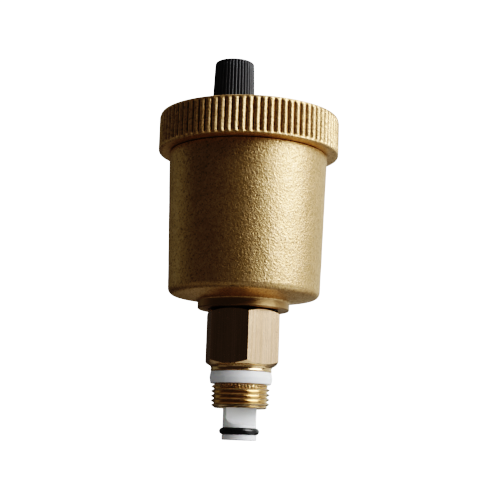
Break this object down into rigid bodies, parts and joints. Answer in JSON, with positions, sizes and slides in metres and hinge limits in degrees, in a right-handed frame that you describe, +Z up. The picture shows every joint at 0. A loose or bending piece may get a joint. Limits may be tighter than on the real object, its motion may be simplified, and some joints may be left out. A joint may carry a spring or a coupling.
{
  "type": "automatic air vent",
  "caption": "Bell-shaped brass air vent: a float and lever inside work its valve under an offset black cap, on a screwed check valve with a sprung plunger and a pipe thread.",
  "frame": {"origin": "centre of the lower end face of the G 3/8 pipe thread, on the common axis", "axes": "+Z up the common axis towards the lid, +X away from the offset cap, -Y the side that the picture shows"},
  "size_m": [0.0526, 0.0526, 0.1099],
  "materials": {
    "cast_brass": "blasted casting, matt and grainy",
    "machined_brass": "turned and drawn, bright",
    "seal_plastic": "soft white PTFE",
    "white_plastic": "moulded, satin",
    "black_plastic": "moulded, satin",
    "black_rubber": "moulded, slightly oily",
    "spring_steel": "stainless, bright"
  },
  "bodies": {
    "check_valve": {"check_valve_body": "machined_brass", "thread_seal_ring": "seal_plastic", "plunger_spring": "spring_steel"},
    "plunger": {"check_plunger": "white_plastic", "plunger_o_ring": "black_rubber"},
    "union_seal": {"union_o_ring": "black_rubber"},
    "vent": {"bell_body": "cast_brass"},
    "lid_seal": {"lid_o_ring": "black_rubber"},
    "lid": {"lid": "cast_brass", "lever_bracket": "spring_steel", "bracket_screw_1": "spring_steel", "bracket_screw_2": "spring_steel", "lever_pin": "spring_steel", "valve_spring": "spring_steel"},
    "cap_seal": {"cap_seal": "black_rubber"},
    "cap": {"vent_cap": "black_plastic"},
    "float": {"float_shell": "white_plastic", "float_cover": "white_plastic", "float_post": "machined_brass"},
    "lever": {"float_lever": "spring_steel"},
    "valve": {"valve_stem": "machined_brass", "valve_pad": "black_rubber"}
  },
  "joints": [
    {"name": "plunger_slide", "type": "slide", "parent": "check_valve", "child": "plunger", "axis": [0, 0, 1], "range_m": [0, 0.00642], "deforming": ["plunger_spring"]},
    {"name": "vent_lift", "type": "slide", "parent": "check_valve", "child": "union_seal", "axis": [0, 0, 1], "range_m": [0, 0.00642]},
    {"name": "vent_turn", "type": "hinge", "parent": "union_seal", "child": "vent", "pos_m": [0, 0, 0], "axis": [0, 0, 1], "range_deg": [0, 1728.8]},
    {"name": "lid_lift", "type": "slide", "parent": "vent", "child": "lid_seal", "axis": [0, 0, 1], "range_m": [0, 0.00526]},
    {"name": "lid_turn", "type": "hinge", "parent": "lid_seal", "child": "lid", "pos_m": [0, 0, 0.0816], "axis": [0, 0, 1], "range_deg": [0, 1262.4]},
    {"name": "cap_lift", "type": "slide", "parent": "lid", "child": "cap_seal", "axis": [0, 0, 1], "range_m": [0, 0.00251]},
    {"name": "cap_turn", "type": "hinge", "parent": "cap_seal", "child": "cap", "pos_m": [-0.0049, 0, 0.0969], "axis": [0, 0, 1], "range_deg": [0, 722.9]},
    {"name": "float_lift", "type": "slide", "parent": "lid", "child": "float", "axis": [0, 0, 1], "range_m": [0, 0.0045]},
    {"name": "lever_turn", "type": "hinge", "parent": "lid", "child": "lever", "pos_m": [-0.01025, 0, 0.0765], "axis": [0, -1, 0], "range_deg": [0, 16.2]},
    {"name": "valve_lift", "type": "slide", "parent": "lid", "child": "valve", "axis": [0, 0, 1], "range_m": [0, 0.00151], "deforming": ["valve_spring"]}
  ],
  "couplings": [
    {"joint": "plunger_slide", "follows": "vent_lift", "ratio": 1},
    {"joint": "vent_turn", "follows": "vent_lift", "rad_per_m": 4699.5},
    {"joint": "lid_turn", "follows": "lid_lift", "rad_per_m": 4188.8},
    {"joint": "cap_turn", "follows": "cap_lift", "rad_per_m": 5026.5},
    {"joint": "lever_turn", "follows": "float_lift", "rad_per_m": 62.5},
    {"joint": "valve_lift", "follows": "float_lift", "ratio": 0.3344}
  ]
}
